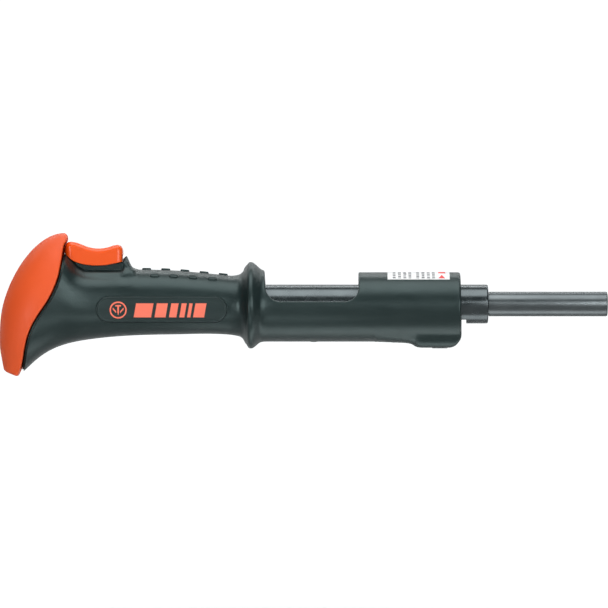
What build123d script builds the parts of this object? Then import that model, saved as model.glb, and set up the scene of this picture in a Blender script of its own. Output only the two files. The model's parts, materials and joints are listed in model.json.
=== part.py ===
from build123d import *
import math
import os

os.makedirs("parts", exist_ok=True)

# Powder-actuated fastening tool, in line, pressed and fired by thumb. Millimetres.
# X runs along the barrel with +X out of the muzzle, +Z is the trigger side, the origin is the
# centre of the muzzle face.

# Housing
TUBE_R = 20.85
TUBE_Z = -1.75
HOUSING_FRONT = -88.3
WINDOW_FRONT = -149.3
WINDOW_REAR = -205.0
WINDOW_FLOOR = 1.5
RING_R = 25.9
RING_X = -213.6
RING_Z = -0.75
SHELL_WALL = 3.0

# Steel guide tube and the parts that slide in it
GUIDE_R = 14.0
GUIDE_BORE = 11.85
SLIDE_R = 11.7
BREECH_X = -206.0
BOLT_REAR = -290.0
BOLT_BORE = 8.05
THRUST_X = -312.0
GUIDE_REAR = -318.0

# Barrel, piston and muzzle
BARREL_FRONT = -71.6
CYLINDER_R = 8.0
CHAMBER_R = 2.95
PISTON_REAR = -186.7
PISTON_STROKE = 78.0
MUZZLE_R = 7.4
NECK_R = 7.0
FASTENER_R = 4.05
FLAT_Z = -9.4
FLAT_REAR = -153.7
FLAT_FRONT = -84.6

# Travels
PRESS_STROKE = 12.5
OPEN_STROKE = 50.0
STRIKER_STROKE = 9.0

# Firing parts
FIRING_PIN_Z = 2.6
SEAR_PIVOT = (-268.0, 9.9)
TRIGGER_PIVOT = (-319.0, 28.0)
SEAR_HALF = 1.6
SLOT_HALF = 2.6

# Stop key under the barrel
KEY_X = -100.5
KEY_HALF = 3.0

# Grip and pommel sections: x, top z, bottom z, half width
GRIP_SECTIONS = [
    (-212.0, 16.3, -18.3, 17.2),
    (-226.0, 17.1, -18.2, 17.2),
    (-241.0, 18.5, -17.9, 17.5),
    (-257.0, 20.0, -18.2, 18.0),
    (-272.0, 20.6, -18.5, 18.3),
    (-288.0, 20.6, -19.1, 18.6),
    (-303.0, 19.4, -20.3, 19.3),
    (-311.0, 19.6, -21.3, 20.2),
    (-317.0, 21.6, -22.3, 21.3),
    (-322.0, 26.4, -23.2, 22.8),
    (-327.0, 32.6, -24.6, 23.9),
    (-333.0, 37.0, -27.2, 24.7),
    (-340.0, 38.5, -31.4, 25.6),
    (-346.0, 37.5, -36.6, 26.2),
    (-352.0, 34.0, -42.0, 26.0),
]

# Palm pad sections, taken square to the pad's own axis: distance along it, depth, half width
PAD_TOP = (-325.3, 31.5)
PAD_LEAN = math.degrees(math.atan2(26.0, 70.0))
PAD_SECTIONS = [
    (-10.2, 4.2, 7.5),
    (-7.0, 9.2, 12.0),
    (-2.5, 13.6, 15.6),
    (3.7, 17.7, 18.6),
    (12.0, 21.2, 21.4),
    (21.4, 23.3, 23.4),
    (32.5, 24.3, 24.8),
    (45.7, 23.2, 24.4),
    (54.3, 21.3, 22.4),
    (64.6, 17.5, 17.6),
    (73.4, 13.0, 12.0),
    (79.0, 7.4, 7.4),
]

# Pad screws: distance along the pad axis
PAD_SCREWS = (26.0, 52.0)

# Joint line between pommel and pad, seen from the side
RIM = [
    (-323.6, 40.6),
    (-325.9, 31.1),
    (-328.3, 16.7),
    (-334.0, 2.6),
    (-343.8, -12.1),
    (-348.6, -26.5),
    (-353.2, -44.0),
]
RIM_GAP = 0.4

# Housing screws: x, z, half span of the housing there
SHELL_SCREWS = [
    (-128.0, -18.6, 12.4),
    (-176.0, -18.6, 12.4),
    (-214.0, -20.5, 16.4),
    (-214.0, 19.8, 15.4),
    (-323.0, 16.5, 18.0),
    (-333.0, -18.5, 18.4),
]
SCREW_R = 1.5
SCREW_HEAD_R = 2.8


def x_rod(x0, x1, r, y=0.0, z=0.0):
    plane = Plane(origin=(x0, y, z), x_dir=(0, 1, 0), z_dir=(1, 0, 0))
    return plane * Cylinder(r, x1 - x0, align=(Align.CENTER, Align.CENTER, Align.MIN))


def y_rod(y0, y1, r, x, z):
    plane = Plane(origin=(x, y0, z), x_dir=(1, 0, 0), z_dir=(0, 1, 0))
    return plane * Cylinder(r, y1 - y0, align=(Align.CENTER, Align.CENTER, Align.MIN))


def z_rod(z0, z1, r, x, y=0.0):
    return Pos(x, y, z0) * Cylinder(r, z1 - z0, align=(Align.CENTER, Align.CENTER, Align.MIN))


def block(x0, x1, y0, y1, z0, z1):
    return Pos((x0 + x1) / 2, (y0 + y1) / 2, (z0 + z1) / 2) * Box(x1 - x0, y1 - y0, z1 - z0)


def prism(outline, y0, y1):
    face = make_face(Plane.XZ * outline)
    return Pos(0, (y0 + y1) / 2, 0) * extrude(face, amount=(y1 - y0) / 2, both=True)


def outline(*points):
    return Polyline(*points, close=True)


def turned(*points, z=0.0):
    """Solid of revolution about the barrel axis from (x, radius) corners."""
    face = make_face(Plane.XZ * Polyline(*points, close=True))
    return Pos(0, 0, z) * revolve(face, Axis.X, 360)


def coil(x0, x1, mean_r, wire, turns):
    """Compression spring along X with its end wires just inside x0 and x1."""
    length = x1 - x0 - wire
    path = Helix(pitch=length / turns, height=length, radius=mean_r)
    profile = Plane(origin=path @ 0, z_dir=path % 0) * Circle(wire / 2)
    spring = sweep(profile, path=path)
    return Pos(x0 + wire / 2, 0, 0) * Rot(0, 90, 0) * spring


def upright_coil(z0, z1, mean_r, wire, turns, x):
    spring = coil(z0, z1, mean_r, wire, turns)
    return Pos(x, 0, 0) * Rot(0, -90, 0) * spring


def ellipse_loft(sections, grow=0.0):
    faces = []
    for x, top, bottom, half in sections:
        plane = Plane(origin=(x, 0, (top + bottom) / 2), x_dir=(0, 1, 0), z_dir=(1, 0, 0))
        faces.append(plane * Ellipse(half + grow, (top - bottom) / 2 + grow))
    return loft(faces)


def pad_loft(grow=0.0):
    faces = []
    lean = math.radians(PAD_LEAN)
    along = (-math.sin(lean), 0, -math.cos(lean))
    for s, depth, half in PAD_SECTIONS:
        centre = (PAD_TOP[0] + s * along[0], 0, PAD_TOP[1] + s * along[2])
        plane = Plane(origin=centre, x_dir=(0, 1, 0), z_dir=along)
        faces.append(plane * Ellipse(max(half + grow, 1.0), max(depth + grow, 0.6)))
    return loft(faces)


def behind_rim(shift):
    """Everything behind the rim curve moved forward by shift."""
    curve = Spline(*[(x + shift, z) for x, z in RIM])
    box = Polyline((RIM[-1][0] + shift, RIM[-1][1]), (-400, -60), (-400, 60), (RIM[0][0] + shift, RIM[0][1]))
    return prism(Curve() + [curve, box], -40, 40)


def window_cut():
    return prism(
        FilletPolyline(
            (WINDOW_REAR - 0.8, 60),
            (WINDOW_REAR, WINDOW_FLOOR),
            (WINDOW_FRONT, WINDOW_FLOOR),
            (WINDOW_FRONT, 60),
            radius=8.5,
            close=True,
        ),
        -40,
        40,
    )


def front_tube():
    tube = Pos(0, 0, TUBE_Z) * x_rod(-212, HOUSING_FRONT, TUBE_R)
    front = tube.edges().filter_by(GeomType.CIRCLE).sort_by(Axis.X)[-1]
    return fillet(front, 1.5)


def front_bump():
    """Chin under the front tube that carries the stop key."""
    side = Polyline(
        (-95.4, -26.7),
        (-114.0, -26.2),
        (-119.4, -23.5),
        (-131.0, -22.3),
        (-131.0, -15),
        (-88.3, -15),
        (-88.3, -18.7),
    )
    nose = ThreePointArc((-88.3, -18.7), (-90.4, -24.4), (-95.4, -26.7))
    body = prism(Curve() + [side, nose], -9.5, 9.5)
    long_edges = body.edges().filter_by(Axis.X, tolerance=3).sort_by(Axis.Z)[:2]
    return fillet(long_edges, 4.0)


def hand_ring():
    crest = Spline(
        (-229.0, 16.9),
        (-221.0, 19.0),
        (-217.0, 23.9),
        (RING_X, RING_R),
        (-210.0, 23.5),
        (-206.6, 20.9),
        (-198.0, 20.2),
        tangents=[(1, 0.05), (1, 0)],
    )
    base = Polyline((-198.0, 20.2), (-198.0, 10), (-229.0, 10), (-229.0, 16.9))
    face = make_face(Plane.XZ * (Curve() + [crest, base]))
    return Pos(0, 0, RING_Z) * revolve(face, Axis.X, 360)


def trigger_boss():
    """Plinth the trigger cap sits over, with the raised lip in front of it."""
    px, pz = TRIGGER_PIVOT
    rear = ThreePointArc((px - 3.2, pz), (px, pz + 3.2), (px + 3.2, pz))
    rest = Polyline(
        (px + 3.2, pz),
        (-313.5, 25.0),
        (-294.8, 25.0),
        (-294.8, 21.4),
        (-290.1, 21.4),
        (-290.1, 26.8),
        (-288.3, 28.4),
        (-287.0, 24.6),
        (-285.6, 21.6),
        (-283.0, 20.2),
        (-283.0, 14.0),
        (px - 3.2, 14.0),
        (px - 3.2, pz),
    )
    return prism(Curve() + [rear, rest], -9, 9)


def trigger_clearance():
    """Room above the pommel for the cap to rock in."""
    return prism(
        outline(
            (-290.0, 50),
            (-290.0, 21.4),
            (-296.0, 20.4),
            (-306.0, 20.4),
            (-313.0, 22.4),
            (-319.0, 24.9),
            (-322.4, 26.8),
            (-324.6, 29.6),
            (-327.2, 31.4),
            (-330.0, 50),
        ),
        -12,
        12,
    )


def grip_bumps():
    """Short raised ribs on top of the grip, a middle row and two staggered side rows."""
    bumps = []
    for i in range(5):
        x = -230.4 - 11.5 * i
        top = 18.0 + 0.055 * (-x - 236.0) if x > -262 else 19.9
        bumps.append((x, 0.0, top - 0.35, 0))
    for i in range(4):
        x = -236.8 - 11.5 * i
        top = 14.5 + 0.06 * (-x - 236.8)
        for side in (-1, 1):
            bumps.append((x, side * 10.2, top - 0.9, side))
    solids = []
    for x, y, z, side in bumps:
        rib = x_rod(-1.5, 1.5, 1.15) + Pos(-1.5, 0, 0) * Sphere(1.15) + Pos(1.5, 0, 0) * Sphere(1.15)
        solids.append(Pos(x, y, z) * rib)
    return solids


def badge_outline(grow, side):
    shape = SlotOverall(78.1 + 2 * grow, 15.3 + 2 * grow)
    face = Plane(origin=(-266.95, 0, -3.25), x_dir=(1, 0, 0), z_dir=(0, -side, 0)) * shape
    return extrude(face, amount=-40)


def housing_solid():
    grip = ellipse_loft(GRIP_SECTIONS)
    body = front_tube() + front_bump() + hand_ring() + grip - trigger_clearance() + trigger_boss()
    for bump in grip_bumps():
        body = body + bump
    return body


def shell_cuts():
    """Everything removed from the joined housing halves."""
    cuts = [
        x_rod(-319.0, -80, GUIDE_R + 0.05),
        x_rod(-145.0, -96.0, 16.6),
        window_cut(),
        behind_rim(RIM_GAP),
        ellipse_loft(GRIP_SECTIONS, -SHELL_WALL) & block(-360, -319.0, -40, 40, -60, 60) - screw_posts(),
        block(-323.1, -290.1, -3.4, 3.4, 19.0, 32.0),
        block(-302.5, -290.6, -2.8, 2.8, 10.0, 20.0),
        block(-300.0, -278.4, -2.8, 5.3, 10.0, 17.2),
        y_rod(-9.2, 9.2, 1.62, *TRIGGER_PIVOT),
        block(KEY_X - KEY_HALF - 0.05, KEY_X + KEY_HALF + 0.05, -KEY_HALF - 0.05, KEY_HALF + 0.05, -25, -12),
        z_rod(-30.0, -24.5, 4.65, KEY_X),
        x_rod(-96.0, -86.0, 15.3),
        x_rod(-88.9, -86.0, 13.0),
    ]
    for side in (-1, 1):
        skin = ellipse_loft(GRIP_SECTIONS, 3.0) - ellipse_loft(GRIP_SECTIONS, -0.8)
        cuts.append(badge_outline(0.1, side) & skin)
    for x, z, half in SHELL_SCREWS:
        cuts.append(y_rod(-half + 6.5, half, SCREW_R + 0.05, x, z))
        cuts.append(y_rod(half - 3.0, half + 12, SCREW_HEAD_R + 0.1, x, z))
    return cuts


def screw_posts():
    """Bosses round the two pommel screws."""
    posts = y_rod(-40, 40, 3.4, SHELL_SCREWS[4][0], SHELL_SCREWS[4][1])
    return posts + y_rod(-40, 40, 3.6, SHELL_SCREWS[5][0], SHELL_SCREWS[5][1])


def shell_halves():
    body = housing_solid()
    for cut in shell_cuts():
        body = body - cut
    right = body & block(-400, 0, -60, 0, -80, 80)
    left = body & block(-400, 0, 0, 60, -80, 80)
    return right, left


def shell_screw_set():
    screws = []
    for x, z, half in SHELL_SCREWS:
        shaft = y_rod(-half + 7.0, half - 3.0, SCREW_R, x, z)
        head = y_rod(half - 3.0, half - 1.0, SCREW_HEAD_R, x, z)
        socket = y_rod(half - 2.2, half, 1.2, x, z)
        screws.append(shaft + head - socket)
    return Compound(children=screws)


def name_badge(side):
    skin = ellipse_loft(GRIP_SECTIONS, 0.35) - ellipse_loft(GRIP_SECTIONS, -0.75)
    plate = badge_outline(0.0, side) & skin
    field = ellipse_loft(GRIP_SECTIONS, 3.0) - ellipse_loft(GRIP_SECTIONS, -0.05)
    return plate - (badge_outline(-0.9, side) & field)


def info_label():
    """Printed label wrapped over the top of the front tube."""
    sheet = x_rod(-132.0, -94.9, TUBE_R + 0.22, z=TUBE_Z) - x_rod(-133, -94, TUBE_R + 0.02, z=TUBE_Z)
    reach = math.radians(38.5)
    side, up = 40 * math.sin(reach), 40 * math.cos(reach)
    plane = Plane(origin=(-133, 0, TUBE_Z), x_dir=(0, 1, 0), z_dir=(1, 0, 0))
    wedge = plane * make_face(outline((0, 0), (side, up), (0, 60), (-side, up)))
    return sheet & extrude(wedge, amount=40)


def pad_posts(r):
    """Screw posts square to the pad axis at two heights."""
    lean = math.radians(PAD_LEAN)
    posts = []
    for s in PAD_SCREWS:
        x = PAD_TOP[0] - s * math.sin(lean)
        z = PAD_TOP[1] - s * math.cos(lean)
        plane = Plane(origin=(x, 0, z), x_dir=(0, 1, 0), z_dir=(-math.cos(lean), 0, math.sin(lean)))
        posts.append(plane * Pos(0, 0, -12) * Cylinder(r, 36, align=(Align.CENTER, Align.CENTER, Align.MIN)))
    return posts


def palm_pad():
    outer = pad_loft() & behind_rim(-RIM_GAP)
    hollow = pad_loft(-4.5)
    for post in pad_posts(4.0):
        hollow = hollow - post
    body = outer - hollow
    for hole in pad_posts(1.55):
        body = body - (hole & pad_loft(-9.0)) - (hole & (behind_rim(-RIM_GAP) - behind_rim(-7.0)))
    return body


def pad_carrier():
    """Stiff plate inside the pommel that the pad is screwed to."""
    band = behind_rim(4.0) - behind_rim(RIM_GAP + 0.05)
    plate = ellipse_loft(GRIP_SECTIONS, -SHELL_WALL - 0.1) & band
    plate = plate - block(-340, -320, -40, 40, 21.0, 60) - screw_posts()
    for hole in pad_posts(1.6):
        plate = plate - hole
    return plate


def pad_screw_set():
    screws = []
    lean = math.radians(PAD_LEAN)
    for s, front in zip(PAD_SCREWS, (7.2, 3.2)):
        x = PAD_TOP[0] - s * math.sin(lean)
        z = PAD_TOP[1] - s * math.cos(lean)
        plane = Plane(origin=(x, 0, z), x_dir=(0, 1, 0), z_dir=(-math.cos(lean), 0, math.sin(lean)))
        shaft = plane * Pos(0, 0, -front) * Cylinder(1.5, 13, align=(Align.CENTER, Align.CENTER, Align.MIN))
        head = plane * Pos(0, 0, -front - 2) * Cylinder(2.8, 2, align=(Align.CENTER, Align.CENTER, Align.MIN))
        screws.append(shaft + head)
    return Compound(children=screws)


def guide_tube():
    tube = x_rod(GUIDE_REAR, -90.0, GUIDE_R) - x_rod(GUIDE_REAR - 1, -89, GUIDE_BORE)
    tube = tube - window_cut()
    tube = tube - block(-299.3, -278.6, -2.75, 2.75, 0, 20)
    return tube - block(KEY_X - 3.2, KEY_X + 3.2, -3.2, 3.2, -20, 0)


def front_bush():
    """Steel ring that centres the guide tube in the nose of the housing."""
    return turned((-95.9, 14.05), (-89.0, 14.05), (-89.0, 15.2), (-95.9, 15.2))


def thrust_plug():
    return turned(
        (GUIDE_REAR + 0.05, 0),
        (THRUST_X, 0),
        (THRUST_X, 11.8),
        (GUIDE_REAR + 0.05, 11.8),
    ) - x_rod(THRUST_X - 3, THRUST_X + 1, 2.05)


def spring_guide():
    return turned(
        (THRUST_X - 3, 0),
        (-298.6, 0),
        (-298.0, 0.6),
        (-298.0, 2.9),
        (-298.6, 3.5),
        (THRUST_X + 0.02, 3.5),
        (THRUST_X + 0.02, 2.0),
        (THRUST_X - 3, 2.0),
    )


def sear_cam():
    """Fixed ramp that keeps the sear out of the striker until the tool is pressed home."""
    ramp = prism(
        outline(
            (-278.9, 11.5),
            (-281.2, 11.5),
            (-294.9, 13.42),
            (-299.0, 13.42),
            (-299.0, 16.9),
            (-278.9, 16.9),
        ),
        0.3,
        2.4,
    )
    return ramp + block(-299.0, -278.9, 0.3, 5.0, 14.3, 16.9)


def bolt_body():
    body = turned(
        (BREECH_X - 0.05, 0),
        (BREECH_X - 0.05, SLIDE_R - 0.4),
        (BREECH_X - 0.45, SLIDE_R),
        (BOLT_REAR + 0.4, SLIDE_R),
        (BOLT_REAR, SLIDE_R - 0.4),
        (BOLT_REAR, BOLT_BORE),
        (-216.0, BOLT_BORE),
        (-216.0, 0),
    )
    body = body - x_rod(-217, -205, 1.0, z=FIRING_PIN_Z)
    body = body - block(BOLT_REAR - 1, -253.6, -SLOT_HALF, SLOT_HALF, 5.0, 20)
    return body - y_rod(-8, 8, 1.02, *SEAR_PIVOT)


def sear():
    px, pz = SEAR_PIVOT
    lever = prism(
        outline(
            (px, pz + 1.3),
            (-255.3, 11.0),
            (-255.3, 8.2),
            (-257.7, 8.2),
            (-258.4, 9.5),
            (px + 1.2, pz - 1.3),
            (px - 1.2, pz - 1.3),
            (-281.6, 9.0),
            (-282.0, 9.4),
            (-282.0, 11.1),
            (-281.7, 11.4),
            (-281.1, 11.4),
            (-279.6, 10.8),
        ),
        -SEAR_HALF,
        SEAR_HALF,
    )
    return lever + y_rod(-SEAR_HALF, SEAR_HALF, 1.5, px, pz) - y_rod(-3, 3, 1.03, px, pz)


def sear_pin():
    return y_rod(-4.2, 4.2, 1.0, *SEAR_PIVOT)


def sear_spring():
    """Hairpin spring beside the sear, coiled on its pin."""
    px, pz = SEAR_PIVOT
    eye = y_rod(1.75, 2.35, 1.55, px, pz) - y_rod(1.7, 2.4, 1.05, px, pz)
    front_leg = block(px, px + 9.0, 1.75, 2.35, pz + 0.95, pz + 1.5)
    rear_leg = block(px - 9.0, px, 1.75, 2.35, pz + 0.95, pz + 1.5)
    return eye + (front_leg + rear_leg) - y_rod(1.7, 2.4, 1.05, px, pz)


def striker():
    body = turned(
        (-228.0, 0),
        (-228.0, 7.5),
        (-228.5, 8.0),
        (-254.8, 8.0),
        (-254.8, 6.0),
        (-258.5, 6.0),
        (-258.5, 8.0),
        (-261.5, 8.0),
        (-262.0, 7.5),
        (-262.0, 3.5),
        (-284.0, 3.5),
        (-284.5, 3.0),
        (-284.5, 0),
    )
    return body - x_rod(-234, -227, 1.5, z=FIRING_PIN_Z)


def firing_pin():
    z = FIRING_PIN_Z
    tip = x_rod(-226.0, -214.9, 0.9, z=z) + Pos(-214.9, 0, z) * Sphere(0.9)
    return tip + x_rod(-233.9, -226.0, 1.5, z=z)


def barrel():
    body = turned(
        (BREECH_X, 3.6),
        (BREECH_X, SLIDE_R - 0.4),
        (BREECH_X + 0.4, SLIDE_R),
        (BARREL_FRONT - 1.0, SLIDE_R),
        (BARREL_FRONT, SLIDE_R - 1.0),
        (BARREL_FRONT, CYLINDER_R),
        (-72.1, CYLINDER_R),
        (-72.1, 8.7),
        (-73.5, 8.7),
        (-73.5, CYLINDER_R),
        (-190.0, CYLINDER_R),
        (-190.0, CHAMBER_R),
        (-204.9, CHAMBER_R),
        (-204.9, 3.6),
    )
    return body - block(FLAT_REAR, FLAT_FRONT, -20, 20, -20, FLAT_Z)


def muzzle_guide():
    return turned(
        (-94.5, 4.3),
        (-94.5, 7.95),
        (-73.6, 7.95),
        (-73.6, NECK_R),
        (-71.0, NECK_R),
        (-71.0, MUZZLE_R),
        (-0.8, MUZZLE_R),
        (0, MUZZLE_R - 0.8),
        (0, FASTENER_R),
        (-76.0, FASTENER_R),
        (-76.0, 4.3),
    )


def muzzle_clip():
    ring = turned((-73.4, 7.1), (-72.2, 7.1), (-72.2, 8.6), (-73.4, 8.6))
    return ring - block(-74, -71, -1.6, 1.6, -12, 0)


def buffer_ring():
    return turned((-100.4, 4.6), (-94.6, 4.6), (-94.6, 7.8), (-95.4, 7.9), (-99.6, 7.9), (-100.4, 7.8))


def piston():
    tip = -77.5
    return turned(
        (PISTON_REAR, 0),
        (PISTON_REAR, 7.5),
        (PISTON_REAR + 0.4, 7.9),
        (-184.2, 7.9),
        (-184.2, 6.9),
        (-182.2, 6.9),
        (-182.2, 7.9),
        (-181.5, 7.9),
        (-181.1, 7.5),
        (-178.7, 3.95),
        (tip - 0.4, 3.95),
        (tip, 3.6),
        (tip, 0),
    )


def piston_ring():
    ring = turned((-184.1, 7.0), (-182.3, 7.0), (-182.3, 7.97), (-184.1, 7.97))
    return ring - block(-185, -181, -0.5, 0.5, 0, 9)


def stop_key():
    body = block(KEY_X - KEY_HALF, KEY_X + KEY_HALF, -KEY_HALF, KEY_HALF, -21.0, -9.55)
    nose = body.edges().filter_by(Axis.Y).sort_by(Axis.Z)[-2:]
    body = chamfer(nose, 0.4)
    return body - z_rod(-22, -14.5, 1.8, KEY_X)


def stop_key_cap():
    cap = z_rod(-26.6, -24.5, 4.6, KEY_X)
    return cap - block(KEY_X - 3, KEY_X + 3, -0.5, 0.5, -27, -25.8)


def trigger():
    """Saddle-shaped thumb trigger: a hollow cap, a pivot web and the leg that drops on the bar."""
    px, pz = TRIGGER_PIVOT
    top = Spline(
        (-323.6, 34.6),
        (-321.4, 37.2),
        (-318.8, 37.1),
        (-311.7, 34.3),
        (-305.2, 33.3),
        (-298.7, 34.1),
        (-293.5, 35.5),
        (-291.2, 33.4),
    )
    skirt = Spline(
        (-290.6, 27.0),
        (-297.1, 24.2),
        (-304.5, 23.2),
        (-314.9, 24.3),
        (-322.1, 27.6),
        (-324.9, 32.6),
    )
    ends = [Line((-291.2, 33.4), (-290.6, 27.0)), Line((-324.9, 32.6), (-323.6, 34.6))]
    cap = prism(Curve() + [top, skirt] + ends, -11, 11)
    hollow_top = Spline((-322.9, 33.2), (-318.8, 34.2), (-311.7, 31.5), (-305.2, 30.5), (-298.7, 31.3), (-293.4, 32.3))
    hollow_rest = Polyline((-293.4, 32.3), (-293.4, 20.0), (-327.0, 20.0), (-327.0, 29.0), (-322.9, 33.2))
    cap = cap - prism(Curve() + [hollow_top, hollow_rest], -9.4, 9.4)
    web = prism(outline((px - 3.2, pz), (px - 3.2, 35.0), (px + 4.6, 34.5), (px + 3.2, pz)), -3, 3)
    web = web + y_rod(-3, 3, 3.2, px, pz) - y_rod(-4, 4, 1.68, px, pz)
    leg = block(-298.5, -293.5, -2.4, 0.1, 19.2, 31.6) + y_rod(-2.4, 0.1, 2.5, -296.0, 19.2)
    return cap + web + leg


def trigger_pin():
    return y_rod(-9.0, 9.0, 1.6, *TRIGGER_PIVOT)


def sear_bar():
    body = block(-297.0, -285.0, -2.4, -0.3, 13.3, 16.6)
    return body + block(-297.0, -292.0, -2.4, 0.0, 15.3, 16.6)


PARTS = {}
PARTS["right_shell"], PARTS["left_shell"] = shell_halves()
PARTS["shell_screws"] = shell_screw_set()
PARTS["palm_pad"] = palm_pad()
PARTS["pad_carrier"] = pad_carrier()
PARTS["pad_screws"] = pad_screw_set()
PARTS["name_badge_right"] = name_badge(-1)
PARTS["name_badge_left"] = name_badge(1)
PARTS["info_label"] = info_label()
PARTS["guide_tube"] = guide_tube()
PARTS["front_bush"] = front_bush()
PARTS["thrust_plug"] = thrust_plug()
PARTS["spring_guide"] = spring_guide()
PARTS["main_spring"] = coil(THRUST_X, -262.0, 5.2, 1.2, 11)
PARTS["return_spring"] = coil(THRUST_X, BOLT_REAR, 8.9, 1.3, 5)
PARTS["sear_cam"] = sear_cam()
PARTS["trigger"] = trigger()
PARTS["trigger_pin"] = trigger_pin()
PARTS["trigger_spring"] = upright_coil(19.0, 30.6, 2.4, 0.8, 5, -307.5)
PARTS["sear_bar"] = sear_bar()
PARTS["bolt_body"] = bolt_body()
PARTS["sear"] = sear()
PARTS["sear_pin"] = sear_pin()
PARTS["sear_spring"] = sear_spring()
PARTS["striker"] = striker()
PARTS["firing_pin"] = firing_pin()
PARTS["rebound_spring"] = Pos(0, 0, FIRING_PIN_Z) * coil(-228.0, -216.0, 2.1, 0.5, 5)
PARTS["barrel"] = barrel()
PARTS["muzzle_guide"] = muzzle_guide()
PARTS["muzzle_clip"] = muzzle_clip()
PARTS["buffer_ring"] = buffer_ring()
PARTS["piston"] = piston()
PARTS["piston_ring"] = piston_ring()
PARTS["stop_key"] = stop_key()
PARTS["stop_key_spring"] = upright_coil(-24.5, -14.5, 1.3, 0.5, 6, KEY_X)
PARTS["stop_key_cap"] = stop_key_cap()

for name, shape in PARTS.items():
    export_step(shape, f"parts/{name}.step")
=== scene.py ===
import json
import math

import bmesh
import bpy
import numpy as np
import openvdb
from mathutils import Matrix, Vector


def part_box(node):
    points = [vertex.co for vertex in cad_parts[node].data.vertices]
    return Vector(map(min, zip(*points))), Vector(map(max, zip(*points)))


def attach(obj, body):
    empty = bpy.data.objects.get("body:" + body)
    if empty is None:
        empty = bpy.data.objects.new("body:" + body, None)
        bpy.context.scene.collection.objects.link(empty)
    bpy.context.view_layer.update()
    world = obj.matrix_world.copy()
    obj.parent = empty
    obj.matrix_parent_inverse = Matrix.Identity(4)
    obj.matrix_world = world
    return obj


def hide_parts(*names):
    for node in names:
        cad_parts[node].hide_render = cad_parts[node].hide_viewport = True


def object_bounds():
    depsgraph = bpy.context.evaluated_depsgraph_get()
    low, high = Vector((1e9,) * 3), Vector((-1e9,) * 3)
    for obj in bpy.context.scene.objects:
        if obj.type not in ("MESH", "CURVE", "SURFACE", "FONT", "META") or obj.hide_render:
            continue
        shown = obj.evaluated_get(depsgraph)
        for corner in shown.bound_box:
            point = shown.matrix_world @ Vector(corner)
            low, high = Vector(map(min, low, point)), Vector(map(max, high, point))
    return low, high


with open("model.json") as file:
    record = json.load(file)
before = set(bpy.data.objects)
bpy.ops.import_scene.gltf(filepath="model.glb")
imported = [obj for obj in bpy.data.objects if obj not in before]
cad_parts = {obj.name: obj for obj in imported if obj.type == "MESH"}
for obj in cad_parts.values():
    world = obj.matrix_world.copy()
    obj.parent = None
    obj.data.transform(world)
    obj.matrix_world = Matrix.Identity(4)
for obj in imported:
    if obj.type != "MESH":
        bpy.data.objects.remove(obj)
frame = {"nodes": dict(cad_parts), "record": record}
cad_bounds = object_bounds()

# Shapes are worked out in millimetres in the frame's own axes and scaled once, on the mesh.
MM = 0.001
F32 = np.float32

# ---- sizes repeated from the CAD part (mm) ----
TUBE_R = 20.85
TUBE_Z = -1.75
RING_Z = -0.75
HOUSING_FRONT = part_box("guide_tube")[1][0] / MM + 1.7
WINDOW_REAR = -205.0
WINDOW_FRONT = -149.3
WINDOW_FLOOR = 1.5
WINDOW_CORNER = 8.5
GUIDE_R = 14.08
GUIDE_REAR = -319.05
BUSH_R = 15.25
BUSH_X = (-96.05, -88.95)
MOUTH_R = 12.6
SHELL_WALL = 3.0
SLIDE_R = 11.7
KEY_X = -100.5
KEY_HALF = 3.05
KEY_CAP_R = 4.65
TRIGGER_PIVOT = (-319.0, 28.0)
TRIGGER_PIN_R = 1.65
BADGE_CENTRE = (-266.95, -3.25)
BADGE_LENGTH = 78.1
BADGE_HEIGHT = 15.3
PAD_TOP = (-325.3, 31.5)
PAD_LEAN = math.atan2(26.0, 70.0)
# Each screw's x, z and the y of its head's outer face.
SHELL_SCREWS = [
    (-128.0, -18.6, 12.4),
    (-176.0, -18.6, 12.4),
    (-214.0, -20.5, 16.4),
    (-214.0, 19.8, 15.4),
    (-323.0, 16.5, 18.0),
    (-333.0, -18.5, 18.4),
]
POMMEL_SCREWS = SHELL_SCREWS[4:]
HEAD_R = 2.9
HEAD_DEPTH = 3.0
SHANK_R = 1.55
SHANK_SHORT = 6.5

# ---- sizes of the visual model only (mm) ----
NOSE_ROUND = 7.8
CHIN_HALF = 12.2
CHIN_ROUND = 8.0
CHIN_REAR = -138.0
EDGE_ROUND = 1.3
PLINTH_HALF = 8.8
PLATFORM_HALF = 11.7
LIP_HALF = 11.3
LIP_LEAN = 0.55
RIB_PITCH = 11.5
RIB_ANGLE = math.radians(36)
RIB_RADIUS = 19.0
RIB_HALF = (2.65, 1.45)
RIB_HEIGHT = 0.95
BOSS_R = 4.0
BOSS_RISE = 0.3
POST_R = 3.6
SHADOW_STEP = 1.5
SHADOW_DEPTH = 0.7
PLATE_GAP = 0.08
PLATE_DEPTH = 0.9
BADGE_INNER_Y = 6
SEAM_HALF = 0.03
SEAM_ROUND = 0.22
PAD_AXES = (45.7, 24.3, 25.4)
PAD_MIDDLE = 34.8
PAD_END = 80.1
PAD_WALL = 4.6
PAD_SCREWS = (26.0, 52.0)
TRIGGER_HALF = 11.0
TRIGGER_X = (-325.6, -290.55)
TRIGGER_FOOT = (-296.0, 19.2)


# ---- curves ----
CURVE_STEP = 0.1


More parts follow.
